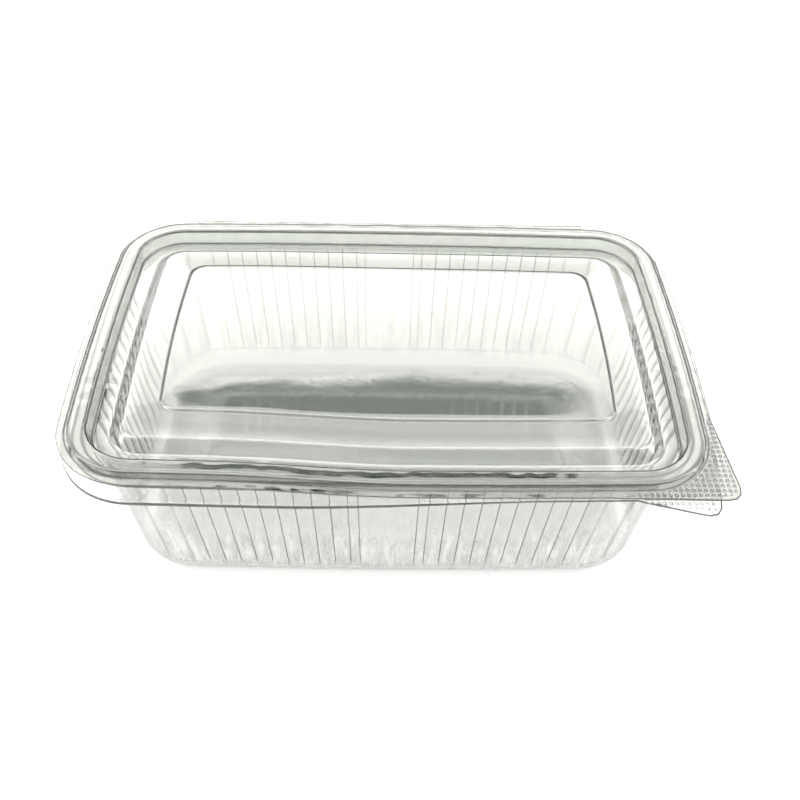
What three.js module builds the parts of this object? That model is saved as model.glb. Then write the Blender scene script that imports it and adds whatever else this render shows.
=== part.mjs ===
// A clear hinged container for takeaway meals: a fluted tub and a raised lid, formed from one thin sheet.
// Millimetres, +Z up. X runs along the long side, the front faces -Y and the hinge lies along the back.
// An inset is measured inwards from the rim, and a height from the surface that the tub stands on, both at
// the middle of the sheet. A round is how far a bend is cut back on either side.
import * as THREE from "three";

// Sheet, and the plan of the rim that both halves share
const SHEET = 0.4;
const RIM_LENGTH = 184;
const RIM_DEPTH = 122;
const RIM_CORNER = 22.7;
const RIM_BOW = 0.9;
const LEAST_CORNER = 5;

// Floor and wall of the tub
const FLOOR_Z = SHEET / 2;
const FLOOR_RISE = 1.4;
const FLOOR_PANEL_INSET = 25.2;
const FOOT_ROUND = 4.4;
const FOOT_BENDS = 3;
const WALL_FOOT_Z = 5.5;
const WALL_TOP_Z = 49.6;
const WALL_TOP_INSET = 7.95;
const WALL_DRAFT_DEG = 6.4;
const WALL_FOOT_CORNER = 19.5;
const WALL_TOP_CORNER = 22;

// Flutes of the tub wall: creases at an even pitch, on either side of a plain panel at the front and back
const FLUTE_PITCH = 5.04;
const FLUTE_DEPTH = 0.55;
const FLUTE_FOOT_Z = 8.5;
const FLUTE_TOP_Z = 47.8;
const FLUTE_FAN = 0.95;
const PANEL_HALF = 8.6;
const PANEL_FRAME = 2.9;
const LONG_FLUTES = 10;
const SHORT_FLUTES = 6;

// Beads that seal the two halves, the lid's over the tub's: insets of each side, and heights
const TUB_BEAD = { innerFoot: 7.1, innerCrown: 6.7, outerCrown: 4.1, outerFoot: 3.3 };
const LID_BEAD = { innerFoot: 8.9, innerCrown: 8.2, outerCrown: 3.6, outerFoot: 2.2 };
const BEAD_ROUND = 0.5;
const TUB_BEAD_FOOT_Z = 50.2;
const TUB_CROWN_Z = 55;
const TUB_FLANGE_Z = 52.8;
const LID_CROWN_Z = 55.8;
const LID_FLANGE_Z = 54.2;

// Ledge, plateau and raised panel of the lid
const LEDGE_Z = 50.8;
const PLATEAU_FOOT_INSET = 14.1;
const PLATEAU_INSET = 17.6;
const PLATEAU_CORNER = 6.2;
const PLATEAU_Z = 54.8;
const PLATEAU_ROUND = 0.7;
const LID_PANEL_INSET = 26.8;
const LID_PANEL_RISE = 0.8;
const LID_PANEL_DOME = 0.35;

// Hinge land along the back, and the finger tabs at the front right corner
const HINGE_HALF = 68;
const HINGE_LAND = 1.2;
const TAB_ROUND = 5;
const LID_TAB = { side: [91.9, -28], tip: [95.2, -61.9], front: [60, -61.4] };
const TUB_TAB = { side: [92, -36], tip: [88.4, -67], front: [67, -61.4] };

// How the thin sheet has sprung: the lid stands off at its front left corner, and the flange droops there
const LID_LIFT = 3;
const LID_LIFT_FROM_X = 8;
const LID_LIFT_FULL_X = -50;
const FLANGE_DROOP = 3.6;
const DROOP_FROM = { x: 50, y: -15 };
const DROOP_FULL = { x: -30, y: -55 };

const CORNER_STEPS = 6;
const LONG_STEPS = 6;
const SHORT_STEPS = 4;
const FLUTE_STEPS = 4;

const { degToRad, lerp, mapLinear, smoothstep } = THREE.MathUtils;
const halfLength = RIM_LENGTH / 2;
const halfDepth = RIM_DEPTH / 2;
const hingeEdge = halfDepth + HINGE_LAND;
const wallInset = (z) => WALL_TOP_INSET + (WALL_TOP_Z - z) * Math.tan(degToRad(WALL_DRAFT_DEG));
const wallCorner = (z) => mapLinear(z, WALL_FOOT_Z, WALL_TOP_Z, WALL_FOOT_CORNER, WALL_TOP_CORNER);
const floorCorner = (inset) => WALL_FOOT_CORNER + wallInset(FLOOR_Z) - inset;
const bowAt = (along, half) => RIM_BOW * (1 - (along / half) ** 2);

// Places along a plain side, with how far each one bows out
function plainSide(half, steps) {
  return Array.from({ length: steps + 1 }, (_, k) => {
    const along = half * ((2 * k) / steps - 1);
    return { along, out: bowAt(along, half) };
  });
}

// Places along a fluted side: each flute rises in an arc between two creases
function flutedSide(half, creases, depth) {
  const places = [];
  creases.forEach((crease, k) => {
    places.push({ along: crease, out: bowAt(crease, half) });
    const next = creases[k + 1];
    if (next === undefined || next - crease > 2 * FLUTE_PITCH) return;
    const rise = depth * Math.min(1, (next - crease) / FLUTE_PITCH);
    for (let step = 1; step < FLUTE_STEPS; step++) {
      const share = step / FLUTE_STEPS;
      const along = lerp(crease, next, share);
      places.push({ along, out: bowAt(along, half) + rise * Math.sin(Math.PI * share) });
    }
  });
  return places;
}

function longCreases(fan) {
  const right = [PANEL_HALF];
  for (let k = 0; k <= LONG_FLUTES; k++) right.push(PANEL_HALF + PANEL_FRAME + k * FLUTE_PITCH);
  return [...right.map((x) => -x).reverse(), ...right].map((x) => x * fan);
}

function shortCreases(fan) {
  const count = 2 * SHORT_FLUTES + 1;
  return Array.from({ length: count }, (_, k) => (k - SHORT_FLUTES) * FLUTE_PITCH * fan);
}

// A rounded rectangle inset from the rim, anticlockwise seen from above, from four sides and four corners
function roundedRing(inset, corner, longSide, shortSide) {
  const points = [];
  for (let k = 0; k < 4; k++) {
    const turned = k * 90;
    const normal = new THREE.Vector2(1, 0).rotateAround(new THREE.Vector2(), degToRad(turned));
    const along = new THREE.Vector2(-normal.y, normal.x);
    const isLong = k % 2 === 1;
    const reach = (isLong ? halfDepth : halfLength) - inset;
    const half = (isLong ? halfLength : halfDepth) - inset - corner;
    const places = isLong ? longSide(half) : shortSide(half);
    for (const place of places) {
      const point = normal.clone().multiplyScalar(reach + place.out);
      points.push(point.addScaledVector(along, place.along));
    }
    const centre = normal.clone().multiplyScalar(reach - corner).addScaledVector(along, half);
    for (let step = 1; step < CORNER_STEPS; step++) {
      const angle = degToRad(turned + (90 * step) / CORNER_STEPS);
      points.push(new THREE.Vector2(Math.cos(angle), Math.sin(angle)).multiplyScalar(corner).add(centre));
    }
  }
  return points;
}

function plainRing(inset, corner = Math.max(LEAST_CORNER, RIM_CORNER - inset)) {
  const long = (half) => plainSide(half, LONG_STEPS);
  const short = (half) => plainSide(half, SHORT_STEPS);
  return roundedRing(inset, corner, long, short);
}

function flutedRing(inset, z, depth) {
  const fan = mapLinear(z, FLUTE_FOOT_Z, FLUTE_TOP_Z, FLUTE_FAN, 1);
  const long = (half) => flutedSide(half, longCreases(fan), depth);
  const short = (half) => flutedSide(half, shortCreases(fan), depth);
  return roundedRing(inset, wallCorner(z), long, short);
}

// The outer edge of a flange: the rim's outline with its straight hinge land and a finger tab
function flangeEdge(tab) {
  const points = plainRing(0)
    .filter((p) => p.x < tab.front[0] || p.y > tab.side[1])
    .filter((p) => p.y < 0 || Math.abs(p.x) > HINGE_HALF);
  const [side, tip, front] = [tab.side, tab.tip, tab.front].map((p) => new THREE.Vector2(...p));
  const sideEnd = tip.clone().add(side.clone().sub(tip).setLength(TAB_ROUND));
  const frontEnd = tip.clone().add(front.clone().sub(tip).setLength(TAB_ROUND));
  points.push(side, ...new THREE.QuadraticBezierCurve(sideEnd, tip, frontEnd).getPoints(CORNER_STEPS), front);
  for (let k = 0; k <= LONG_STEPS; k++) {
    points.push(new THREE.Vector2(HINGE_HALF * ((2 * k) / LONG_STEPS - 1), hingeEdge));
  }
  for (const x of [-HINGE_HALF, HINGE_HALF]) points.push(new THREE.Vector2(x, halfDepth));
  return points;
}

// Rounds each bend of a path of { inset, z } that has a round, in as many steps as it has bends
function softened(path) {
  return path.flatMap((here, k) => {
    if (!here.round) return [here];
    const bend = new THREE.Vector2(here.inset, here.z);
    const [start, end] = [path[k - 1], path[k + 1]].map((beside) => {
      const leg = new THREE.Vector2(beside.inset, beside.z).sub(bend);
      return leg.setLength(here.round).add(bend);
    });
    const points = new THREE.QuadraticBezierCurve(start, bend, end).getPoints(here.bends ?? 1);
    return points.map((p) => ({ ...here, inset: p.x, z: p.y }));
  });
}

// Moves a path sideways by half a sheet, along the mean of the normals on either side of each point
function offsetPath(path, distance) {
  const direction = (a, b) => new THREE.Vector2(b.inset - a.inset, b.z - a.z).normalize();
  return path.map((here, k) => {
    const back = k > 0 ? direction(path[k - 1], here) : direction(here, path[k + 1]);
    const ahead = k < path.length - 1 ? direction(here, path[k + 1]) : back;
    const mean = back.clone().add(ahead).normalize();
    const shift = distance / mean.dot(back);
    return { ...here, inset: here.inset - mean.y * shift, z: here.z + mean.x * shift };
  });
}

// The two faces of a sheet that follows a path from the middle of the part out to its flange. They run under
// the sheet from the middle to the rim, and back over it.
function sheetRings(path, tab, droop) {
  const ringFor = (place) => {
    const { inset, z, corner, flutes } = place;
    const level = { centreZ: z + (place.dome ?? 0), heightAt: () => z };
    if (place.atEdge) return { kind: "edge", points: flangeEdge(tab), heightAt: (p) => z - droop(p) };
    if (flutes !== undefined) return { kind: "fluted", points: flutedRing(inset, z, flutes), ...level };
    return { kind: "plain", points: plainRing(inset, corner), ...level };
  };
  const under = offsetPath(path, SHEET / 2).map(ringFor);
  const over = offsetPath(path, -SHEET / 2).map(ringFor);
  return [...under, ...over.reverse()];
}

// Joins two loops of points with a strip of triangles. Loops of one kind go point by point, others by angle.
function stitch(loop, next) {
  const faces = [];
  const aligned = loop.kind === next.kind;
  const at = (ring, k) => ring.places[k % ring.places.length];
  const wayRound = (ring, k) => {
    if (aligned) return k;
    return at(ring, k).angle + (k < ring.places.length ? 0 : 2 * Math.PI);
  };
  let [i, j] = [0, 0];
  while (i < loop.places.length || j < next.places.length) {
    const loopIsBehind = i < loop.places.length && wayRound(loop, i + 1) < wayRound(next, j + 1);
    if (loopIsBehind || j === next.places.length) {
      faces.push(at(loop, i).index, at(loop, i + 1).index, at(next, j).index);
      i += 1;
    } else {
      faces.push(at(loop, i).index, at(next, j + 1).index, at(next, j).index);
      j += 1;
    }
  }
  return faces;
}

// Joins rings into one closed body, with a fan of triangles over its first and last ring
function closedShell(rings, lift) {
  const positions = [];
  const faces = [];
  const addPoint = (x, y, z) => {
    positions.push(x, y, z + lift(x, y));
    return positions.length / 3 - 1;
  };
  const loops = rings.map(({ kind, points, heightAt }) => {
    const sorted = [...points].sort((a, b) => a.angle() - b.angle());
    const places = sorted.map((p) => ({ angle: p.angle(), index: addPoint(p.x, p.y, heightAt(p)) }));
    return { kind, places };
  });
  loops.slice(1).forEach((next, k) => faces.push(...stitch(loops[k], next)));
  const lastRing = rings.length - 1;
  for (const k of [0, lastRing]) {
    const centre = addPoint(0, 0, rings[k].centreZ);
    loops[k].places.forEach(({ index }, m, places) => {
      const beside = places[(m + 1) % places.length].index;
      faces.push(centre, ...(k === lastRing ? [index, beside] : [beside, index]));
    });
  }
  const geometry = new THREE.BufferGeometry();
  geometry.setAttribute("position", new THREE.Float32BufferAttribute(positions, 3));
  geometry.setIndex(faces);
  geometry.computeVertexNormals();
  return geometry;
}

// Up the inner side of a bead, over its crown, down its outer side and out along the flange
function beadPath(bead, crownZ, flangeZ) {
  return [
    { inset: bead.innerCrown, z: crownZ, round: BEAD_ROUND },
    { inset: bead.outerCrown, z: crownZ, round: BEAD_ROUND },
    { inset: bead.outerFoot, z: flangeZ },
    { inset: 0, z: flangeZ, atEdge: true },
  ];
}

// Tub: floor, foot, fluted wall, shoulder, bead and flange
function tubPath() {
  const onFloor = (inset, rise) => ({ inset, z: FLOOR_Z + rise, corner: floorCorner(inset) });
  const onWall = (z, flutes) => ({ inset: wallInset(z), z, flutes });
  return softened([
    onFloor(FLOOR_PANEL_INSET + FLOOR_RISE, FLOOR_RISE),
    onFloor(FLOOR_PANEL_INSET, 0),
    { ...onFloor(wallInset(FLOOR_Z), 0), round: FOOT_ROUND, bends: FOOT_BENDS },
    onWall(WALL_FOOT_Z, 0),
    onWall(FLUTE_FOOT_Z, FLUTE_DEPTH),
    onWall(FLUTE_TOP_Z, FLUTE_DEPTH),
    onWall(WALL_TOP_Z, 0),
    { inset: TUB_BEAD.innerFoot, z: TUB_BEAD_FOOT_Z },
    ...beadPath(TUB_BEAD, TUB_CROWN_Z, TUB_FLANGE_Z),
  ]);
}

// Lid: raised panel, plateau, ledge, bead and flange
function lidPath() {
  return softened([
    { inset: LID_PANEL_INSET + LID_PANEL_RISE, z: PLATEAU_Z + LID_PANEL_RISE, dome: LID_PANEL_DOME },
    { inset: LID_PANEL_INSET, z: PLATEAU_Z },
    { inset: PLATEAU_INSET, z: PLATEAU_Z, corner: PLATEAU_CORNER, round: PLATEAU_ROUND },
    { inset: PLATEAU_FOOT_INSET, z: LEDGE_Z, round: PLATEAU_ROUND },
    { inset: LID_BEAD.innerFoot, z: LEDGE_Z, round: PLATEAU_ROUND },
    ...beadPath(LID_BEAD, LID_CROWN_Z, LID_FLANGE_Z),
  ]);
}

// The lid stands off most along its front edge, at the left, and not at all along the hinge
function lidLift(x, y) {
  const towardsFront = (hingeEdge - y) / (hingeEdge + halfDepth);
  return LID_LIFT * towardsFront * (1 - smoothstep(x, LID_LIFT_FULL_X, LID_LIFT_FROM_X));
}

// The flange droops along the left of the front edge and round its corner
function flangeDroop({ x, y }) {
  const alongFront = 1 - smoothstep(x, DROOP_FULL.x, DROOP_FROM.x);
  const nearFront = 1 - smoothstep(y, DROOP_FULL.y, DROOP_FROM.y);
  return FLANGE_DROOP * alongFront * nearFront;
}

function clearPlastic(color) {
  const finish = { roughness: 0.08, metalness: 0, transparent: true, opacity: 0.4 };
  return new THREE.MeshStandardMaterial({ color, ...finish });
}

function sheetPart(name, rings, lift, color) {
  const mesh = new THREE.Mesh(closedShell(rings, lift), clearPlastic(color));
  mesh.name = name;
  return mesh;
}

const container = new THREE.Group();
container.add(sheetPart("tub", sheetRings(tubPath(), TUB_TAB, flangeDroop), () => 0, 0xdde4e0));
container.add(sheetPart("lid", sheetRings(lidPath(), LID_TAB, () => 0), lidLift, 0xe6ebe8));

// The origin lies under the middle of the whole outline, tabs and hinge land included
const middle = new THREE.Box3().setFromObject(container).getCenter(new THREE.Vector3());
container.position.set(-middle.x, -middle.y, 0);

export default container;
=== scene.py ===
# A clear hinged container for takeaway meals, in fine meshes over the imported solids.
import math

import bmesh
import bpy
import numpy as np
from mathutils import Matrix, Vector, noise


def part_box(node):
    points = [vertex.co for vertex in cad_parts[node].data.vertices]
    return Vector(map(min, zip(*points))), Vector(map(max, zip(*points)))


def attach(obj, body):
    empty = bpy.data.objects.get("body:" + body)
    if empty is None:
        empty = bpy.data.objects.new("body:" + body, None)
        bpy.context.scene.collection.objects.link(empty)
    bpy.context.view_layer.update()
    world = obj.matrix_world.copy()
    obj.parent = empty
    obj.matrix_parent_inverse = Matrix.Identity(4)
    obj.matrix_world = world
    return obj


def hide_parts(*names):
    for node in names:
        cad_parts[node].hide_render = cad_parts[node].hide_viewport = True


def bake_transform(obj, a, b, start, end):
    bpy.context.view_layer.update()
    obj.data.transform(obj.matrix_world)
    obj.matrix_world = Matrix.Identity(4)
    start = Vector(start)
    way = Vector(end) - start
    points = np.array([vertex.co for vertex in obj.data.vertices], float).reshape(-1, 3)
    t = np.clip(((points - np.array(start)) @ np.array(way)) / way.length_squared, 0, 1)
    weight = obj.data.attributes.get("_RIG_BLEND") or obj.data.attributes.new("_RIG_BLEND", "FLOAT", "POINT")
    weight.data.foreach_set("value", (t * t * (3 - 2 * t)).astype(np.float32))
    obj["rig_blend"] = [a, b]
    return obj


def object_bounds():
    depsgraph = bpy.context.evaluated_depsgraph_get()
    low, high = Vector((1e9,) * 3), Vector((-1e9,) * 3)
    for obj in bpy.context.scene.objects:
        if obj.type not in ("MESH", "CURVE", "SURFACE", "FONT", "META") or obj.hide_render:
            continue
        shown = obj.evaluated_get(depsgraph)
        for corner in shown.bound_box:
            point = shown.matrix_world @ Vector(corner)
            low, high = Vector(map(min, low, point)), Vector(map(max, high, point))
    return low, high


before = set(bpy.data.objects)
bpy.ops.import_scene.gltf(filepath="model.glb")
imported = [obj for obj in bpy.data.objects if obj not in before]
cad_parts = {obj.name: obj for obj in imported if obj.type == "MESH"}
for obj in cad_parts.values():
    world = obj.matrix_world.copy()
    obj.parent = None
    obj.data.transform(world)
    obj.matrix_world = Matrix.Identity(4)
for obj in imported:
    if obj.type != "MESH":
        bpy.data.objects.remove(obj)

# Sizes are in millimetres, in a frame centred on the rim, until the meshes are made. Insets are measured
# inwards from the rim and heights from the surface that the tub stands on, both at the middle of the sheet.
# A pair of places named as a range is where a change starts and where it ends.
MM = 0.001
SHEET = 0.4
RIM_LENGTH = 184.0
RIM_DEPTH = 122.0
RIM_CORNER = 22.7
RIM_BOW = 0.9
LEAST_CORNER = 5.0
TINY = 1e-9
HALF_LENGTH = RIM_LENGTH / 2
HALF_DEPTH = RIM_DEPTH / 2

# Floor of the tub: a ring that it stands on, and a raised middle with a gentle slope round it
FLOOR_Z = SHEET / 2
FLOOR_RISE = 1.4
FLOOR_RUN = 6.5
FLOOR_RING_INSET = 20.0
FLOOR_SLOPE_INSET = 25.2
FLOOR_MIDDLE_INSET = 36.0

# Wall of the tub, and the rows of points up it above the feet of the flutes
WALL_FOOT_Z = 5.5
WALL_TOP_Z = 49.6
WALL_TOP_INSET = 7.95
WALL_DRAFT = math.tan(math.radians(6.4))
WALL_FOOT_CORNER = 19.5
WALL_TOP_CORNER = 22.0
WALL_ROWS = (12, 18, 26, 34, 42, 46, 46.8, 47.5, 48.2, 48.8, 49.4)
SHOULDER_Z = 50.0
SHOULDER_CORNER = 18.6

# Flutes of the wall. They fan in to a share of their pitch at the foot, where each ends in a rounded scallop.
# The inner face of the sheet is less deep. A front and a back panel and their frames break the row.
FLUTE_PITCH = 5.04
FLUTE_DEPTH = 0.55
FLUTE_INSIDE = 0.5
FLUTE_FULLNESS = 0.8
FLUTE_FAN = 0.95
FLUTE_FAN_Z = (8.5, 47.8)
FLUTE_FOOT_Z = (5.6, 9.6)
FLUTE_FOOT_ROWS = np.arange(6.0, 9.8, 0.45)
FLUTE_TOP_Z = (49.4, 46.8)
FLUTE_SHARES = (0.06, 0.25, 0.5, 0.75, 0.94)
LONG_FLUTES = 10
SHORT_FLUTES = 6
PANEL_HALF = 8.6
PANEL_FRAME = 2.9
PANEL_STEP = 1.7

# Creases between the flutes: how wide one is beside a plain panel, and how dark the painted shade along one
# reads at the end of a side; how dark the lines of painted shade read round a corner, where every eighth
# column has one though the corner has no crease; and how dark the painted shade line at the scallops reads.
# Elsewhere the painted shade along a crease reads 1. A crease is where the fullness is nought, so that of a
# plain panel is just above it.
CREASE = 0.3
END_CREASE_SHADE = 0.35
CORNER_PAINTED_SHADE = 0.4
CORNER_PAINTED_SHADE_STEP = 8
SCALLOP_PAINTED_SHADE = 0.3
PLAIN = 1e-6

# Columns of points: round each corner, and along the plain sides of the lid
TUB_CORNER_COLUMNS = 32
LID_CORNER_COLUMNS = 38
LID_LONG_REACH = 61.9
LID_SHORT_REACH = 30.2
LID_STEP = 1.3

# Beads, ledge, plateau and raised panel
TUB_BEAD = {"inner_foot": 7.1, "inner_crown": 6.7, "outer_crown": 4.1, "outer_foot": 3.3}
LID_BEAD = {"inner_foot": 8.9, "inner_crown": 8.2, "outer_crown": 3.6, "outer_foot": 2.2}
TUB_BEAD_FOOT_Z = 50.4
TUB_CROWN_Z = 55.0
TUB_FLANGE_Z = 52.8
LID_CROWN_Z = 55.8
LID_FLANGE_Z = 54.2
LEDGE_Z = 50.8
LEDGE_MIDDLE_INSET = 11.5
PLATEAU_FOOT_INSET = 14.1
PLATEAU_INSET = 17.6
PLATEAU_CORNER = 6.2
PLATEAU_MIDDLE_INSET = 22.0
PLATEAU_MIDDLE_CORNER = 5.5
PLATEAU_Z = 54.8
PLATEAU_FALL = 0.4
LID_PANEL_INSET = 26.8
LID_PANEL_RISE = 0.8
LID_PANEL_DOME = 0.12
LID_PANEL_MARGIN = 3.0

# Bends: how far each is rounded, in how many steps, how dark the painted shade on it reads in a line along
# its middle or over all of it, and the share of the sheet's thickness that is left where it is drawn thin
DRAWN_SHEET = 0.5
FLOOR_BEND = {"round": 2.6, "steps": 4}
FOOT_BEND = {"round": 4.4, "steps": 8}
SHOULDER_BEND = {"round": 0.4, "steps": 2}
TUB_BEAD_BEND = {"round": 0.35, "steps": 3}
CROWN_BEND = {"round": 0.7, "steps": 5, "shade": 0.85}
FLANGE_BEND = {"round": 0.45, "steps": 4, "shade": 1.0}
LID_PANEL_BEND = {"round": 0.45, "steps": 4, "line": 0.2}
LID_PANEL_FOOT_BEND = {"round": 0.45, "steps": 4, "line": 0.6}
PLATEAU_BEND = {"round": 0.9, "steps": 6, "line": 0.5, "sheet": DRAWN_SHEET}
PLATEAU_FOOT_BEND = {"round": 0.9, "steps": 6, "shade": 0.25, "sheet": DRAWN_SHEET}
LEDGE_BEND = {"round": 1.0, "steps": 6, "shade": 1.0}

# Hinge land, and the film of the fold: how far it laps onto the flanges and stays from the ends of the land
HINGE_HALF = 68.0
HINGE_LAND = 1.2
HINGE_Z = 53.5
FOLD_SHEET = 0.2
FOLD_ROUND = 0.7
FOLD_LAP = 0.3
FOLD_MARGIN = 0.4
FOLD_Y = HALF_DEPTH + HINGE_LAND - FOLD_ROUND - FOLD_SHEET / 2
FOLD_STEPS = 12
FOLD_ROWS = 69

# Finger tabs
LID_TAB = {"side": (91.9, -28.0), "tip": (95.2, -61.9), "front": (60.0, -61.4)}
TUB_TAB = {"side": (92.0, -36.0), "tip": (88.4, -67.0), "front": (67.0, -61.4)}
TAB_ROUND = 5.0
TAB_STEPS = 16

# Rows of the flange: as shares of its width, and then at these distances from its edge, where the last two
# are darkened with painted shade. Each of those goes at least a least share of the way that is left.
FLANGE_SHARES = np.linspace(0.26, 0.66, 6)
EDGE_MARGINS = (0.6, 0.38, 0.0)
EDGE_PAINTED_SHADE = 1.0
LEAST_STEP = 0.2

# Knurling pressed into the finger tabs: its pitch, height, and how far it stays from the edge and the bead
KNURL_PITCH = (1.65, 1.75)
KNURL_HEIGHT = 0.42
KNURL_MARGIN = 1.2
KNURL_CUTS = 4
KNURL_LEVEL = 0.5
KNURL_ARC_STEPS = 12

# Rows of the middle of a panel, as shares of its size
MIDDLE_SHARES = (0.04, 0.18, 0.34, 0.5, 0.66, 0.82)

# Ripples of the sheet, as (per mm, height). The quick ones are on the beads alone, and the foot has none.
RIPPLE_SLOW = (0.03, 0.03)
RIPPLE_QUICK = (0.35, 0.07)
RIPPLE_BEAD_Z = (48.0, 53.0)
RIPPLE_BEAD_INSET = (22.0, 14.0)
RIPPLE_FOOT_Z = (0.0, 8.0)
RIPPLE_SEED = 4

# How the sheet has sprung: the lid stands off at its front left corner, and the tub's flange droops under it
LID_LIFT = 3.0
LID_LIFT_X = (8.0, -50.0)
FLANGE_DROOP = 3.6
DROOP_X = (50.0, -30.0)
DROOP_Y = (-15.0, -55.0)

# Camera, fitted to the photograph: its distance from the point it looks at, and its angles
CAMERA_TARGET = (3.91, 3.32, 25.0)
CAMERA_DISTANCE = 328.81
CAMERA_ELEVATION = math.radians(45.37)
CAMERA_YAW = math.radians(-1.62)
CAMERA_ROLL = math.radians(1.81)
CAMERA_LENS = 44.65

noise.seed_set(RIPPLE_SEED)
box_of_solids = [list(corner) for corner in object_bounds()]
lid_low, lid_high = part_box("lid")
RIM_X = lid_low.x + (HALF_LENGTH + RIM_BOW) * MM
RIM_Y = lid_high.y - (HALF_DEPTH + HINGE_LAND) * MM
RIM_CENTRE = Vector((RIM_X, RIM_Y, 0))


def smoothstep(value, start, end):
    """A smooth change from 0 at the start to 1 at the end, which may lie below the start."""
    share = np.clip((value - start) / (end - start), 0, 1)
    return share * share * (3 - 2 * share)


def wall_inset(z):
    return WALL_TOP_INSET + (WALL_TOP_Z - z) * WALL_DRAFT


def wall_corner(z):
    share = (z - WALL_FOOT_Z) / (WALL_TOP_Z - WALL_FOOT_Z)
    return WALL_FOOT_CORNER + share * (WALL_TOP_CORNER - WALL_FOOT_CORNER)


def floor_corner(inset):
    return max(LEAST_CORNER, WALL_FOOT_CORNER + wall_inset(FLOOR_Z) - inset)


# Plan of a ring: where its columns lie along each side, and round each corner


def fluted_places(creases):
    """Places along a side and how full the flute is at each, from the creases between flutes."""
    places = [(creases[0], 0.0)]
    for here, ahead in zip(creases, creases[1:]):
        width = ahead - here
        if width > 2 * FLUTE_PITCH:
            places.append((here + CREASE, PLAIN))
            steps = round(width / PANEL_STEP)
            places += [(here + width * k / steps, PLAIN) for k in range(1, steps)]
            places.append((ahead - CREASE, PLAIN))
        else:
            fullness = min(1, width / FLUTE_PITCH)
            places += [
                (here + width * share, fullness * math.sin(math.pi * share) ** FLUTE_FULLNESS)
                for share in FLUTE_SHARES
            ]
        places.append((ahead, 0.0))
    return np.array(places)


def even_places(reach):
    """Places along a plain side."""
    steps = round(2 * reach / LID_STEP)
    return np.array([(reach * (2 * k / steps - 1), 0.0) for k in range(steps + 1)])


def long_creases():
    framed = PANEL_HALF + PANEL_FRAME
    right = [PANEL_HALF] + [framed + k * FLUTE_PITCH for k in range(LONG_FLUTES + 1)]
    return [-x for x in reversed(right)] + right


def short_creases():
    return [k * FLUTE_PITCH for k in range(-SHORT_FLUTES, SHORT_FLUTES + 1)]


def plan_of(long, short, corner, creased):
    """Columns of a ring, and how dark the painted shade line along each of them is, from 0 to 1."""
    columns = []
    # Painted shade along each crease, lighter at the ends of a side, and lines of painted shade round each
    # corner, which has no crease
    for side in (short, long, short, long):
        lines = [float(creased and full == 0) for _, full in side]
        lines[0] = lines[-1] = lines[0] * END_CREASE_SHADE
        columns += lines
        columns += [CORNER_PAINTED_SHADE * creased * (k % CORNER_PAINTED_SHADE_STEP == 0) for k in range(1, corner)]
    return {"long": long, "short": short, "corner": corner, "creases": np.array(columns)}


TUB_PLAN = plan_of(
    fluted_places(long_creases()), fluted_places(short_creases()), TUB_CORNER_COLUMNS, True
)
LID_PLAN = plan_of(even_places(LID_LONG_REACH), even_places(LID_SHORT_REACH), LID_CORNER_COLUMNS, False)


def fitted(places, half, fan):
    """How far along a side its places lie: fanned in, and never past the side's straight part."""
    return places[:, 0] * min(fan, half / places[-1, 0])


def side_points(places, half, reach, fan, depth):
    """Points (out, along) of one side, flutes and bow included."""
    along = fitted(places, half, fan)
    out = reach + RIM_BOW * (1 - (along / half) ** 2) + depth * places[:, 1]
    return np.column_stack([out, along])


def corner_points(steps, start, end, corner, half, reach, next_half, next_reach):
    """Points from the last place of one side round the corner to the first place of the next."""
    first = half - start
    arc = corner * math.pi / 2
    last = next_half - end
    lengths = np.arange(1, steps) / steps * (first + arc + last)
    points = []
    for length in lengths:
        if length < first:
            along = start + length
            points.append((reach + RIM_BOW * (1 - (along / half) ** 2), along))
        elif length < first + arc:
            angle = (length - first) / corner
            points.append((reach - corner + corner * math.cos(angle), half + corner * math.sin(angle)))
        else:
            along = -next_half + (length - first - arc)
            out = next_reach + RIM_BOW * (1 - (along / next_half) ** 2)
            points.append((-along, out))
    return np.array(points)


def ring(plan, inset, corner, fan=1.0, depth=0.0):
    """A rounded rectangle, anticlockwise from above, and the way out of it at each point."""
    points, normals = [], []
    for k in range(4):
        is_long = k % 2 == 1
        places = plan["long" if is_long else "short"]
        others = plan["short" if is_long else "long"]
        reach = (HALF_DEPTH if is_long else HALF_LENGTH) - inset
        next_reach = (HALF_LENGTH if is_long else HALF_DEPTH) - inset
        half, next_half = next_reach - corner, reach - corner
        side = side_points(places, half, reach, fan, depth)
        start = fitted(places, half, fan)[-1]
        end = fitted(others, next_half, fan)[-1]
        turn = corner_points(plan["corner"], start, end, corner, half, reach, next_half, next_reach)
        local = np.vstack([side, turn])
        way = np.zeros_like(local)
        way[: len(side), 0] = 1
        centre = np.array([reach - corner, half])
        beyond = np.clip(turn - centre, 0, None) + TINY
        way[len(side):] = beyond / np.linalg.norm(beyond, axis=1)[:, None]
        angle = math.radians(90 * k)
        turned = np.array([[math.cos(angle), math.sin(angle)], [-math.sin(angle), math.cos(angle)]])
        points.append(local @ turned)
        normals.append(way @ turned)
    return np.vstack(points), np.vstack(normals)


def tab_outline(tab):
    """Side of the tab, its rounded tip and its front, as a line of points."""
    side, tip, front = (np.array(tab[name]) for name in ("side", "tip", "front"))
    start = tip + (side - tip) / np.linalg.norm(side - tip) * TAB_ROUND
    end = tip + (front - tip) / np.linalg.norm(front - tip) * TAB_ROUND
    share = np.linspace(0, 1, TAB_STEPS + 1)[:, None]
    curve = (1 - share) ** 2 * start + 2 * share * (1 - share) * tip + share**2 * end
    return np.vstack([side, curve, front])


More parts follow.
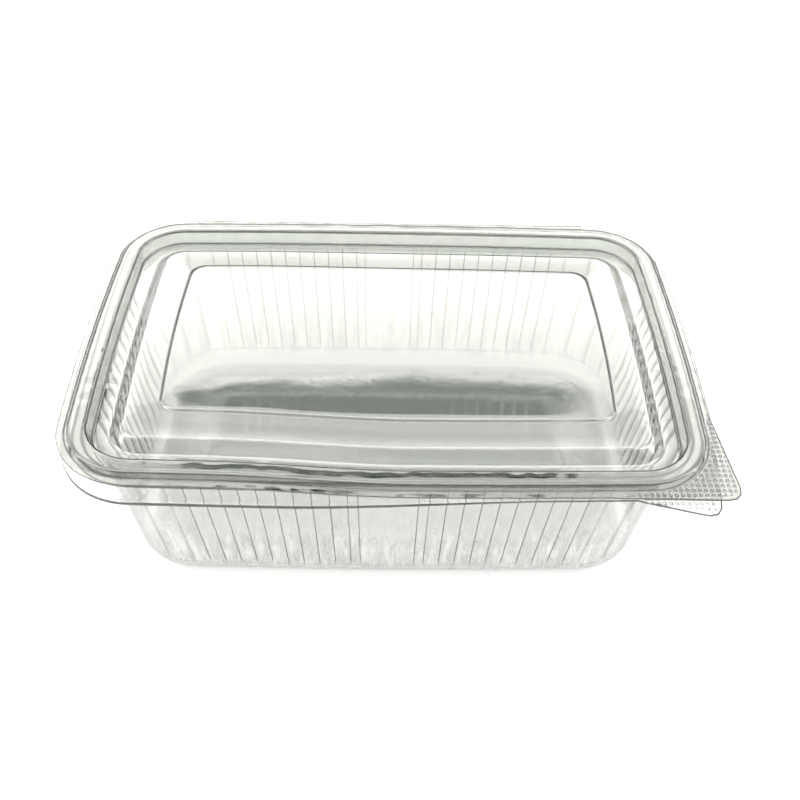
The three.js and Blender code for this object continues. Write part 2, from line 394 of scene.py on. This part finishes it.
def reach_to(outline, points, normals):
    """How far each point lies from an outline along its way out, or 0 where it doesn't meet it."""
    reach = np.zeros(len(points))
    for a, b in zip(outline, outline[1:]):
        edge = b - a
        cross = normals[:, 0] * edge[1] - normals[:, 1] * edge[0]
        cross = np.where(np.abs(cross) < TINY, TINY, cross)
        gap = a - points
        far = (gap[:, 0] * edge[1] - gap[:, 1] * edge[0]) / cross
        share = (gap[:, 0] * normals[:, 1] - gap[:, 1] * normals[:, 0]) / cross
        meets = (share >= 0) & (share <= 1) & (far > 0)
        reach = np.where(meets, np.maximum(reach, far), reach)
    return reach


def flange_edge(plan, tab):
    """The rim's outline with its straight hinge land and a finger tab."""
    points, normals = ring(plan, 0, RIM_CORNER)
    points = points + normals * reach_to(tab_outline(tab), points, normals)[:, None]
    on_land = (points[:, 1] > 0) & (np.abs(points[:, 0]) < HINGE_HALF)
    points[on_land, 1] = FOLD_Y
    return points


# Path of the sheet from the middle of a part out to its flange


def bent(path):
    """Rounds each bend of a path, its painted shade in a line at the middle and over all of it."""
    made = []
    for k, here in enumerate(path):
        if "round" not in here:
            made.append(here)
            continue
        bend = np.array([here["inset"], here["z"]])
        ends = []
        for beside in (path[k - 1], path[k + 1]):
            leg = np.array([beside["inset"], beside["z"]]) - bend
            ends.append(bend + leg / np.linalg.norm(leg) * here["round"])
        steps = here["steps"]
        for step in range(steps + 1):
            t = step / steps
            place = (1 - t) ** 2 * ends[0] + 2 * t * (1 - t) * bend + t * t * ends[1]
            line = here.get("line", 0) * (step == steps // 2)
            shade = here.get("shade", 0) * math.sin(math.pi * t)
            made.append({**here, "inset": place[0], "z": place[1], "line": max(line, shade)})
    return made


def offset(path, distance):
    """The path moved sideways, and less far where the sheet is drawn thin."""
    places = np.array([(p["inset"], p["z"]) for p in path])
    legs = np.diff(places, axis=0)
    legs /= np.linalg.norm(legs, axis=1)[:, None]
    back = np.vstack([legs[:1], legs])
    ahead = np.vstack([legs, legs[-1:]])
    mean = back + ahead
    mean /= np.linalg.norm(mean, axis=1)[:, None]
    shift = distance * np.array([p.get("sheet", 1) for p in path]) / (mean * back).sum(1)
    return [
        {**p, "inset": p["inset"] - m[1] * s, "z": p["z"] + m[0] * s}
        for p, m, s in zip(path, mean, shift)
    ]


def bead_path(bead, crown_z, flange_z, outline):
    """The path over a bead, and out to the edge of the flange beside it."""
    width = bead["outer_foot"]
    flange = [
        {"inset": width * (1 - share), "z": flange_z, "edge": (share, outline)} for share in FLANGE_SHARES
    ]
    flange += [
        {"inset": margin, "z": flange_z, "edge": (1 - margin / width, outline), "margin": margin}
        for margin in EDGE_MARGINS
    ]
    # The last two rows of the flange take painted shade, a dark line along its edge
    for place in flange[-2:]:
        place["line"] = EDGE_PAINTED_SHADE
    return [
        {"inset": bead["inner_crown"], "z": crown_z, **CROWN_BEND},
        {"inset": bead["outer_crown"], "z": crown_z, **CROWN_BEND},
        {"inset": width, "z": flange_z, **FLANGE_BEND},
        *flange,
    ]


def share_of(value, start, end):
    return min(1, max(0, (value - start) / (end - start)))


def floor_place(inset, rise, **bend):
    return {"inset": inset, "z": FLOOR_Z + rise, "corner": floor_corner(inset), "fan": FLUTE_FAN, **bend}


def wall_place(z):
    rise = math.sin(math.pi / 2 * share_of(z, *FLUTE_FOOT_Z))
    return {
        "inset": wall_inset(z),
        "z": z,
        "corner": wall_corner(z),
        "fan": FLUTE_FAN + (1 - FLUTE_FAN) * share_of(z, *FLUTE_FAN_Z),
        "depth": FLUTE_DEPTH * rise * float(smoothstep(z, *FLUTE_TOP_Z)),
        # Painted shade line along the row where the scallops start
        "line": SCALLOP_PAINTED_SHADE * (z == FLUTE_FOOT_ROWS[0]),
    }


def tub_path(outline):
    return bent(
        [
            floor_place(FLOOR_MIDDLE_INSET, FLOOR_RISE),
            floor_place(FLOOR_SLOPE_INSET + FLOOR_RUN, FLOOR_RISE, **FLOOR_BEND),
            floor_place(FLOOR_SLOPE_INSET, 0, **FLOOR_BEND),
            floor_place(FLOOR_RING_INSET, 0),
            floor_place(wall_inset(FLOOR_Z), 0, **FOOT_BEND),
            *(wall_place(z) for z in (WALL_FOOT_Z, *FLUTE_FOOT_ROWS, *WALL_ROWS)),
            {"inset": WALL_TOP_INSET, "z": SHOULDER_Z, "corner": SHOULDER_CORNER, **SHOULDER_BEND},
            {"inset": TUB_BEAD["inner_foot"], "z": TUB_BEAD_FOOT_Z, **TUB_BEAD_BEND},
            *bead_path(TUB_BEAD, TUB_CROWN_Z, TUB_FLANGE_Z, outline),
        ]
    )


def lid_path(outline):
    panel = {"inset": LID_PANEL_INSET + LID_PANEL_RISE, "z": PLATEAU_Z + LID_PANEL_RISE}
    middle_z = PLATEAU_Z - PLATEAU_FALL / 2
    plateau = {"inset": PLATEAU_INSET, "z": PLATEAU_Z - PLATEAU_FALL, "corner": PLATEAU_CORNER}
    return bent(
        [
            {**panel, "inset": panel["inset"] + LID_PANEL_MARGIN},
            {**panel, **LID_PANEL_BEND},
            {"inset": LID_PANEL_INSET, "z": PLATEAU_Z, **LID_PANEL_FOOT_BEND},
            {"inset": PLATEAU_MIDDLE_INSET, "z": middle_z, "corner": PLATEAU_MIDDLE_CORNER},
            {**plateau, **PLATEAU_BEND},
            {"inset": PLATEAU_FOOT_INSET, "z": LEDGE_Z, **PLATEAU_FOOT_BEND},
            {"inset": LEDGE_MIDDLE_INSET, "z": LEDGE_Z},
            {"inset": LID_BEAD["inner_foot"], "z": LEDGE_Z, **LEDGE_BEND},
            *bead_path(LID_BEAD, LID_CROWN_Z, LID_FLANGE_Z, outline),
        ]
    )


# Shells


def droop_at(points):
    """How far the flange of the tub hangs at its front left corner."""
    x, y = points[:, 0], points[:, 1]
    return FLANGE_DROOP * smoothstep(x, *DROOP_X) * smoothstep(y, *DROOP_Y)


def lift_at(points):
    """How far the left of the lid stands off the tub, turned about the hinge."""
    hinge_edge = HALF_DEPTH + HINGE_LAND
    towards_front = (hinge_edge - points[:, 1]) / (hinge_edge + HALF_DEPTH)
    return LID_LIFT * towards_front * smoothstep(points[:, 0], *LID_LIFT_X)


def dome_at(points, dome):
    """How far the raised panel of a lid bulges."""
    across = 1 - (points[:, 0] / (HALF_LENGTH - LID_PANEL_INSET)) ** 2
    deep = 1 - (points[:, 1] / (HALF_DEPTH - LID_PANEL_INSET)) ** 2
    return dome * np.clip(across, 0, None) * np.clip(deep, 0, None)


def ripple_at(points):
    """Small unevenness of a formed sheet, strongest where it is folded into the bead."""
    moved = np.zeros_like(points)
    inset = np.minimum(HALF_LENGTH - np.abs(points[:, 0]), HALF_DEPTH - np.abs(points[:, 1]))
    on_bead = smoothstep(points[:, 2], *RIPPLE_BEAD_Z) * smoothstep(inset, *RIPPLE_BEAD_INSET)
    slow_scale, slow_height = RIPPLE_SLOW
    quick_scale, quick_height = RIPPLE_QUICK
    for k, (point, share) in enumerate(zip(points, on_bead)):
        place = Vector(point)
        slow = noise.noise_vector(place * slow_scale) * slow_height
        quick = noise.noise_vector(place * quick_scale) * quick_height * share
        moved[k] = slow + quick
    return moved


def flange_row(place, points, inner):
    """Points of a row of the flange: a share of the way to its edge, or a margin inside it."""
    share, outline = place["edge"]
    if "margin" not in place:
        return points * (1 - share) + outline * share
    width = np.linalg.norm(outline - inner, axis=1)
    step = np.maximum(LEAST_STEP, 1 - place["margin"] / width)[:, None]
    return inner * (1 - step) + outline * step


def rows_of(path, plan, droop, dome, flute):
    """One face of a sheet: rows of (x, y, z, painted shade), one for each place of the path, its middle
    first.
    """
    rows = []
    for place in path:
        inset, depth = place["inset"], place.get("depth", 0.0)
        corner = place.get("corner", max(LEAST_CORNER, RIM_CORNER - inset))
        points, _ = ring(plan, inset, corner, place.get("fan", 1.0), depth * flute)
        height = np.full(len(points), place["z"])
        if "edge" in place:
            points = flange_row(place, points, rows[-1][:, :2])
            if droop:
                height = height - droop_at(points) * place["edge"][0]
        # Painted shade of each point: the larger of its row's and its crease's, which fades where the flutes
        # are shallow
        line = np.maximum(place.get("line", 0), plan["creases"] * min(1, depth / FLUTE_DEPTH))
        rows.append(np.column_stack([points, height, line]))
    centre = np.array([0, 0, rows[0][0, 2], 0])
    rows = [centre + (rows[0] - centre) * share for share in MIDDLE_SHARES] + rows
    for row in rows:
        row[:, 2] += dome_at(row, dome)
    return rows


def inside_of(outline, points):
    """Which points lie inside a closed outline."""
    inside = np.zeros(len(points), bool)
    for a, b in zip(outline, np.roll(outline, -1, 0)):
        crosses = (a[1] > points[:, 1]) != (b[1] > points[:, 1])
        rise = b[1] - a[1] if abs(b[1] - a[1]) > TINY else TINY
        inside ^= crosses & (points[:, 0] < a[0] + (points[:, 1] - a[1]) * (b[0] - a[0]) / rise)
    return inside


def knurl_outline(tab, bead):
    """The part of a finger tab that is knurled: inside its outline and outside the bead."""
    tip = tab_outline(tab)
    inwards = tip.mean(0) - tip
    tip = tip + inwards / np.linalg.norm(inwards, axis=1)[:, None] * KNURL_MARGIN
    centre = np.array([HALF_LENGTH - RIM_CORNER, -HALF_DEPTH + RIM_CORNER])
    radius = RIM_CORNER - bead["outer_foot"] + KNURL_MARGIN / 2
    angles = np.radians(np.linspace(-90, 0, KNURL_ARC_STEPS + 1))
    arc = centre + radius * np.column_stack([np.cos(angles), np.sin(angles)])
    return np.vstack([tip, arc])


def places_of(points):
    """Where points of the part lie from above, in the rim's frame."""
    return (np.array(points)[:, :2] - np.array(RIM_CENTRE)[:2]) / MM


def knurl(mesh, outline):
    """Cuts the knurled area finer and raises small bumps on top, with painted shade darkest half way up each.
    """
    form = bmesh.new()
    form.from_mesh(mesh)
    faces = [face for face in form.faces if abs(face.normal.z) > KNURL_LEVEL]
    inside = inside_of(outline, places_of([face.calc_center_median() for face in faces]))
    edges = dict.fromkeys(edge for face, is_in in zip(faces, inside) if is_in for edge in face.edges)
    bmesh.ops.subdivide_edges(form, edges=list(edges), cuts=KNURL_CUTS, use_grid_fill=True)
    places = places_of([point.co for point in form.verts])
    bumps = np.prod(np.sin(math.pi * places / np.array(KNURL_PITCH)) ** 2, axis=1)
    bumps = bumps * inside_of(outline, places)
    form.normal_update()
    line = form.verts.layers.float["line"]
    for point, bump in zip(form.verts, bumps):
        if point.normal.z > 0 and bump > 0:
            point.co.z += KNURL_HEIGHT * bump * MM
            # Painted shade on the flanks of the bump, darkest half way up
            point[line] = 4 * bump * (1 - bump)
    form.to_mesh(mesh)
    form.free()


def placed(points):
    """Points in the frame of the part, kept inside the box of its solids."""
    return np.clip(points * MM + np.array(RIM_CENTRE), *box_of_solids).tolist()


def linked(name, data):
    piece = bpy.data.objects.new(name, data)
    bpy.context.scene.collection.objects.link(piece)
    return piece


def woven(rows, columns):
    """Four-sided faces between rows of points, each row a closed loop."""
    starts = np.arange(rows - 1)[:, None] * columns
    here = np.arange(columns)[None, :]
    ahead = (here + 1) % columns
    quads = [starts + here, starts + ahead, starts + columns + ahead, starts + columns + here]
    return np.stack(quads, -1).reshape(-1, 4).tolist()


def shell(name, path, plan, droop, dome, lift):
    """A closed sheet: both faces of the path, and the cut edge between them in its second material."""
    under = rows_of(offset(path, SHEET / 2), plan, droop, dome, 1.0)
    over = rows_of(offset(path, -SHEET / 2), plan, droop, dome, FLUTE_INSIDE)
    rows = under + over[::-1]
    columns = len(rows[0])
    points = np.vstack(rows)
    if lift:
        points[:, 2] += lift_at(points)
    points = np.vstack([points, [points[:columns].mean(0)], [points[-columns:].mean(0)]])
    lines = points[:, 3]
    points = points[:, :3]
    points = points + ripple_at(points) * smoothstep(points[:, 2], *RIPPLE_FOOT_Z)[:, None]
    low, high = len(points) - 2, len(points) - 1
    last = (len(rows) - 1) * columns
    caps = [(low, (k + 1) % columns, k) for k in range(columns)]
    caps += [(high, last + k, last + (k + 1) % columns) for k in range(columns)]
    mesh = bpy.data.meshes.new(name)
    mesh.from_pydata(placed(points), [], woven(len(rows), columns) + caps)
    mesh.update()
    # The painted shade of each point, which the sheet's material reads as the attribute line
    attribute = mesh.attributes.new("line", "FLOAT", "POINT")
    attribute.data.foreach_set("value", lines.astype(np.float32))
    edge_row = len(under) - 1
    for k in range(columns):
        mesh.polygons[edge_row * columns + k].material_index = 1
    mesh.polygons.foreach_set("use_smooth", [True] * len(mesh.polygons))
    return linked(name, mesh)


def fold_point(side):
    """Where the fold meets the flange of the tub, at -1, or of the lid, at 1."""
    return RIM_CENTRE + Vector((0, FOLD_Y, HINGE_Z + side * FOLD_ROUND)) * MM


def hinge_fold():
    """The thin film along the back that joins the two flanges, folded round the joint."""
    turns = [math.pi * (k / FOLD_STEPS - 0.5) for k in range(FOLD_STEPS + 1)]
    line = [(FOLD_Y + FOLD_ROUND * math.cos(t), HINGE_Z + FOLD_ROUND * math.sin(t)) for t in turns]
    line = np.array([(FOLD_Y - FOLD_LAP, line[0][1])] + line + [(FOLD_Y - FOLD_LAP, line[-1][1])])
    legs = np.gradient(line, axis=0)
    legs /= np.linalg.norm(legs, axis=1)[:, None]
    out = np.column_stack([legs[:, 1], -legs[:, 0]]) * FOLD_SHEET / 2
    section = np.vstack([line + out, (line - out)[::-1]])
    count = len(section)
    reach = HINGE_HALF - FOLD_MARGIN
    points = np.array([(x, y, z) for x in np.linspace(-reach, reach, FOLD_ROWS) for y, z in section])
    quads = woven(FOLD_ROWS, count)
    strips = range(count // 2 - 1)
    ends = [(k, count - 1 - k, count - 2 - k, k + 1) for k in strips]
    last = (FOLD_ROWS - 1) * count
    ends += [(last + k, last + k + 1, last + count - 2 - k, last + count - 1 - k) for k in strips]
    mesh = bpy.data.meshes.new("hinge_fold")
    mesh.from_pydata(placed(points + ripple_at(points)), [], quads + ends)
    form = bmesh.new()
    form.from_mesh(mesh)
    bmesh.ops.recalc_face_normals(form, faces=form.faces)
    form.to_mesh(mesh)
    form.free()
    mesh.polygons.foreach_set("use_smooth", [True] * len(quads) + [False] * len(ends))
    return linked("hinge_fold", mesh)


# Nodes


def math_node(nodes, links, operation, *values):
    """A Math node between sockets and plain numbers."""
    node = nodes.new("ShaderNodeMath")
    node.operation = operation
    for socket, value in zip(node.inputs, values):
        if isinstance(value, (int, float)):
            socket.default_value = value
        else:
            links.new(value, socket)
    return node.outputs[0]


def product(nodes, links, *values):
    result = values[0]
    for value in values[1:]:
        result = math_node(nodes, links, "MULTIPLY", result, value)
    return result


def range_node(nodes, links, value, start, end, to_start=0.0, to_end=1.0):
    """A smooth change from one level to another as the value goes from the start to the end."""
    node = nodes.new("ShaderNodeMapRange")
    node.interpolation_type = "SMOOTHSTEP"
    links.new(value, node.inputs["Value"])
    for name, number in (("From Min", start), ("From Max", end), ("To Min", to_start), ("To Max", to_end)):
        if isinstance(number, (int, float)):
            node.inputs[name].default_value = number
        else:
            links.new(number, node.inputs[name])
    return node.outputs[0]


def ramp_of(nodes, stops):
    """A colour ramp through grey levels, from (position, level)."""
    ramp = nodes.new("ShaderNodeValToRGB")
    elements = ramp.color_ramp.elements
    while len(elements) < len(stops):
        elements.new(0.5)
    for element, (position, level) in zip(elements, stops):
        element.position = position
        element.color = (level, level, level, 1)
    return ramp


# Materials. The sheet is glossy and clear. Its tint deepens with its thickness, and painted shade darkens its
# colour where it is seen edge on and along its creases and tight bends. Places and scales are in metres here.
SHEET_COLOR = (0.98, 0.985, 0.98)
# Colour of the painted shade along creases, bends and edges
PAINTED_SHADE_COLOR = (0.03, 0.036, 0.032)
SHEET_TINT = (0.44, 0.475, 0.44)
SHEET_ROUGHNESS = 0.02
PLASTIC_IOR = 1.57
TUB_COAT = 0.0
LID_COAT = 1.0
TUB_DENSITY = 420.0
LID_DENSITY = 3400.0
# The cut edge is dark and only partly clear: painted shade that draws it as a dark outline
CUT_EDGE_SHADE_COLOR = (0.14, 0.16, 0.15)
EDGE_ROUGHNESS = 0.15
EDGE_CLEARNESS = 0.3
# How dark the painted shade reads where the sheet is seen edge on, over this range of facing
GRAZING = (0.62, 1.0)
EDGE_ON_PAINTED_SHADE = 0.95

# Milky streaks low on the wall of the tub: their noise, the range of it that shows, how milky they are, where
# they fade, and the share of them that is left at the back
HAZE_STRETCH = (1.0, 1.0, 0.12)
HAZE_SCALE = 450.0
HAZE_DETAIL = 3.0
HAZE_NOISE = (0.32, 0.75)
TUB_HAZE = (0.04, 0.6)
HAZE_FLOOR_Z = (0.001, 0.006)
HAZE_TOP_Z = (0.042, 0.012)
HAZE_BACK_Y = (-0.03, 0.03)
HAZE_BACK = 0.35

# Layers of fine bumps: (scale per metre, height in metres, detail)
SHEET_BUMPS = ((260.0, 0.000014, 1.0), (1500.0, 0.0000035, 2.0))
EDGE_BUMPS = ((1500.0, 0.00001, 2.0),)


def principled(name, color, **sockets):
    """A plain material, and its shader with the sockets that are named."""
    material = bpy.data.materials.new(name)
    material.use_nodes = True
    shader = material.node_tree.nodes["Principled BSDF"]
    shader.inputs["Base Color"].default_value = (*color, 1)
    for socket, value in sockets.items():
        shader.inputs[socket.replace("_", " ")].default_value = value
    return material, shader


def add_bumps(material, shader, layers):
    nodes, links = material.node_tree.nodes, material.node_tree.links
    coordinates = nodes.new("ShaderNodeTexCoord")
    normal = None
    for scale, height, detail in layers:
        texture = nodes.new("ShaderNodeTexNoise")
        texture.inputs["Scale"].default_value = scale
        texture.inputs["Detail"].default_value = detail
        links.new(coordinates.outputs["Object"], texture.inputs["Vector"])
        bump = nodes.new("ShaderNodeBump")
        bump.inputs["Strength"].default_value = 1.0
        bump.inputs["Distance"].default_value = height
        links.new(texture.outputs["Fac"], bump.inputs["Height"])
        if normal is not None:
            links.new(normal, bump.inputs["Normal"])
        normal = bump.outputs["Normal"]
    links.new(normal, shader.inputs["Normal"])


def add_painted_shade(material, shader):
    """Paints shade into the sheet's colour along its creases and tight bends, and where it is seen edge on.
    """
    nodes, links = material.node_tree.nodes, material.node_tree.links
    line = nodes.new("ShaderNodeAttribute")
    line.attribute_name = "line"
    # Painted shade where the sheet is seen edge on, joined to the painted shade of the line attribute
    grazing = nodes.new("ShaderNodeLayerWeight")
    grazing.inputs["Blend"].default_value = 0.5
    edge_on = range_node(nodes, links, grazing.outputs["Facing"], *GRAZING, 0.0, EDGE_ON_PAINTED_SHADE)
    mix = nodes.new("ShaderNodeMix")
    mix.data_type = "RGBA"
    mix.inputs["A"].default_value = (*SHEET_COLOR, 1)
    mix.inputs["B"].default_value = (*PAINTED_SHADE_COLOR, 1)
    links.new(math_node(nodes, links, "MAXIMUM", line.outputs["Fac"], edge_on), mix.inputs["Factor"])
    links.new(mix.outputs["Result"], shader.inputs["Base Color"])


def add_haze(material, shader, haze):
    """Milky streaks up the wall, which take away from its clearness."""
    nodes, links = material.node_tree.nodes, material.node_tree.links
    coordinates = nodes.new("ShaderNodeTexCoord")
    stretch = nodes.new("ShaderNodeMapping")
    stretch.inputs["Scale"].default_value = HAZE_STRETCH
    streaks = nodes.new("ShaderNodeTexNoise")
    streaks.inputs["Scale"].default_value = HAZE_SCALE
    streaks.inputs["Detail"].default_value = HAZE_DETAIL
    links.new(coordinates.outputs["Object"], stretch.inputs["Vector"])
    links.new(stretch.outputs["Vector"], streaks.inputs["Vector"])
    place = nodes.new("ShaderNodeSeparateXYZ")
    links.new(coordinates.outputs["Object"], place.inputs["Vector"])
    milky = product(
        nodes,
        links,
        range_node(nodes, links, streaks.outputs["Fac"], *HAZE_NOISE, *haze),
        range_node(nodes, links, place.outputs["Z"], *HAZE_FLOOR_Z),
        range_node(nodes, links, place.outputs["Z"], *HAZE_TOP_Z),
        range_node(nodes, links, place.outputs["Y"], *HAZE_BACK_Y, 1.0, HAZE_BACK),
    )
    links.new(math_node(nodes, links, "SUBTRACT", 1.0, milky), shader.inputs["Transmission Weight"])


def clear_sheet(name, coat, density, haze=None):
    material, shader = principled(
        name,
        SHEET_COLOR,
        Roughness=SHEET_ROUGHNESS,
        IOR=PLASTIC_IOR,
        Transmission_Weight=1.0,
        Coat_Weight=coat,
        Coat_Roughness=SHEET_ROUGHNESS,
    )
    add_painted_shade(material, shader)
    if haze:
        add_haze(material, shader, haze)
    nodes, links = material.node_tree.nodes, material.node_tree.links
    depth = nodes.new("ShaderNodeVolumeAbsorption")
    depth.inputs["Color"].default_value = (*SHEET_TINT, 1)
    depth.inputs["Density"].default_value = density
    links.new(depth.outputs["Volume"], nodes["Material Output"].inputs["Volume"])
    add_bumps(material, shader, SHEET_BUMPS)
    return material


# The cut edge's material, painted dark as shade so that it reads as an outline
def cut_edge():
    material, shader = principled(
        "cut_edge",
        CUT_EDGE_SHADE_COLOR,
        Roughness=EDGE_ROUGHNESS,
        IOR=PLASTIC_IOR,
        Transmission_Weight=EDGE_CLEARNESS,
    )
    add_bumps(material, shader, EDGE_BUMPS)
    return material


# Light. It comes in long bands from side to side, each at a pitch in degrees: 0 is the horizon behind the
# part, 90 is overhead and 180 is the horizon on the camera's side. The camera sees a plain pale backdrop.
HALF_TURN = 180.0
BAND_LEVELS = (
    (0, 0.06),
    (17, 0.06),
    (31, 0.32),
    (33.5, 0.4),
    (36, 0.74),
    (44.3, 0.66),
    (45.0, 0.46),
    (69, 0.42),
    (83, 0.9),
    (97, 0.9),
    (112, 0.3),
    (132, 0.14),
    (180, 0.08),
)
LIGHT_COLOR = (1.0, 0.968, 0.935)
LIGHT_STRENGTH = 6.3
BACKDROP_LEVEL = 0.175

# The light is dimmer low down, and on the left its bands lean with the lid, which is lifted there. A dark
# card behind the part is what the lid's raised panel reflects along its front.
LOW_Z = (0.1, 0.45)
LOW_LEVEL = 0.3
LEAN = math.radians(2.4)
LEAN_AZIMUTH = (-0.12, 0.1)
CARD_BOTTOM = (44.3, 45.0)
CARD_TOP = (49.5, 50.5)
CARD_HALF_AZIMUTH = (0.25, 0.31)

# The ground under the part, in metres
GROUND_COLOR = (0.55, 0.55, 0.55)
GROUND_GLOW = 0.6
GROUND_REACH = 8.0
GROUND_GAP = 0.00005


def world_light():
    """A pale studio: a broad bright band behind the part, a softer ceiling, and a darker camera side."""
    world = bpy.data.worlds.new("studio")
    bpy.context.scene.world = world
    world.use_nodes = True
    nodes, links = world.node_tree.nodes, world.node_tree.links
    coordinates = nodes.new("ShaderNodeTexCoord")
    split = nodes.new("ShaderNodeSeparateXYZ")
    links.new(coordinates.outputs["Generated"], split.inputs["Vector"])
    x, y, z = (split.outputs[name] for name in "XYZ")
    azimuth = math_node(nodes, links, "ARCTAN2", x, y)
    lean = range_node(nodes, links, azimuth, *LEAN_AZIMUTH, LEAN / math.pi, 0.0)
    above = math_node(nodes, links, "ARCTAN2", z, y)
    pitch = math_node(nodes, links, "MULTIPLY_ADD", above, 1 / math.pi, lean)
    bands = ramp_of(nodes, [(degrees / HALF_TURN, level) for degrees, level in BAND_LEVELS])
    links.new(pitch, bands.inputs["Fac"])
    low = range_node(nodes, links, z, *LOW_Z, LOW_LEVEL, 1.0)
    bottom = [degrees / HALF_TURN for degrees in CARD_BOTTOM]
    top = [degrees / HALF_TURN for degrees in CARD_TOP]
    aside = math_node(nodes, links, "ABSOLUTE", azimuth)
    card = product(
        nodes,
        links,
        range_node(nodes, links, aside, *CARD_HALF_AZIMUTH, 1.0, 0.0),
        range_node(nodes, links, pitch, *bottom),
        range_node(nodes, links, pitch, *top, 1.0, 0.0),
    )
    clear_of_card = math_node(nodes, links, "SUBTRACT", 1.0, card)
    level = product(nodes, links, bands.outputs["Color"], low, clear_of_card)
    seen = nodes.new("ShaderNodeLightPath").outputs["Is Camera Ray"]
    level = range_node(nodes, links, seen, 0.0, 1.0, level, BACKDROP_LEVEL)
    background = nodes["Background"]
    background.inputs["Color"].default_value = (*LIGHT_COLOR, 1)
    links.new(product(nodes, links, level, LIGHT_STRENGTH), background.inputs["Strength"])


def ground():
    mesh = bpy.data.meshes.new("floor")
    corners = [(-1, -1), (1, -1), (1, 1), (-1, 1)]
    mesh.from_pydata([(x * GROUND_REACH, y * GROUND_REACH, 0) for x, y in corners], [], [(0, 1, 2, 3)])
    piece = linked("floor", mesh)
    piece.location.z = -GROUND_GAP
    material, shader = principled("floor", GROUND_COLOR, Roughness=1.0, Specular_IOR_Level=0.0)
    shader.inputs["Emission Color"].default_value = (1, 1, 1, 1)
    shader.inputs["Emission Strength"].default_value = GROUND_GLOW
    mesh.materials.append(material)


def camera():
    data = bpy.data.cameras.new("camera")
    data.lens = CAMERA_LENS
    piece = linked("camera", data)
    back = Vector(
        (
            math.sin(CAMERA_YAW) * math.cos(CAMERA_ELEVATION),
            -math.cos(CAMERA_YAW) * math.cos(CAMERA_ELEVATION),
            math.sin(CAMERA_ELEVATION),
        )
    )
    right = Vector((math.cos(CAMERA_YAW), math.sin(CAMERA_YAW), 0))
    up = back.cross(right)
    turned = right * math.cos(CAMERA_ROLL) + up * math.sin(CAMERA_ROLL)
    raised = up * math.cos(CAMERA_ROLL) - right * math.sin(CAMERA_ROLL)
    matrix = Matrix((turned, raised, back)).transposed().to_4x4()
    matrix.translation = RIM_CENTRE + (Vector(CAMERA_TARGET) + back * CAMERA_DISTANCE) * MM
    piece.matrix_world = matrix
    bpy.context.scene.camera = piece


camera()
ground()
world_light()

edge = cut_edge()
tub_outline = flange_edge(TUB_PLAN, TUB_TAB)
tub = shell("tub_sheet", tub_path(tub_outline), TUB_PLAN, droop=True, dome=0.0, lift=False)
tub.data.materials.append(clear_sheet("tub_clear", TUB_COAT, TUB_DENSITY, TUB_HAZE))
tub.data.materials.append(edge)
knurl(tub.data, knurl_outline(TUB_TAB, TUB_BEAD))
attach(tub, "tub")
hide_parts("tub")

lid_outline = flange_edge(LID_PLAN, LID_TAB)
lid = shell("lid_sheet", lid_path(lid_outline), LID_PLAN, droop=False, dome=LID_PANEL_DOME, lift=True)
lid.data.materials.append(clear_sheet("lid_clear", LID_COAT, LID_DENSITY))
lid.data.materials.append(edge)
knurl(lid.data, knurl_outline(LID_TAB, LID_BEAD))
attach(lid, "lid")
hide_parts("lid")

hinge = hinge_fold()
hinge.data.materials.append(lid.data.materials[0])
hinge.data.materials.append(edge)
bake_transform(hinge, "tub", "lid", start=fold_point(-1), end=fold_point(1))

view = bpy.context.scene.view_settings
view.view_transform = "Standard"
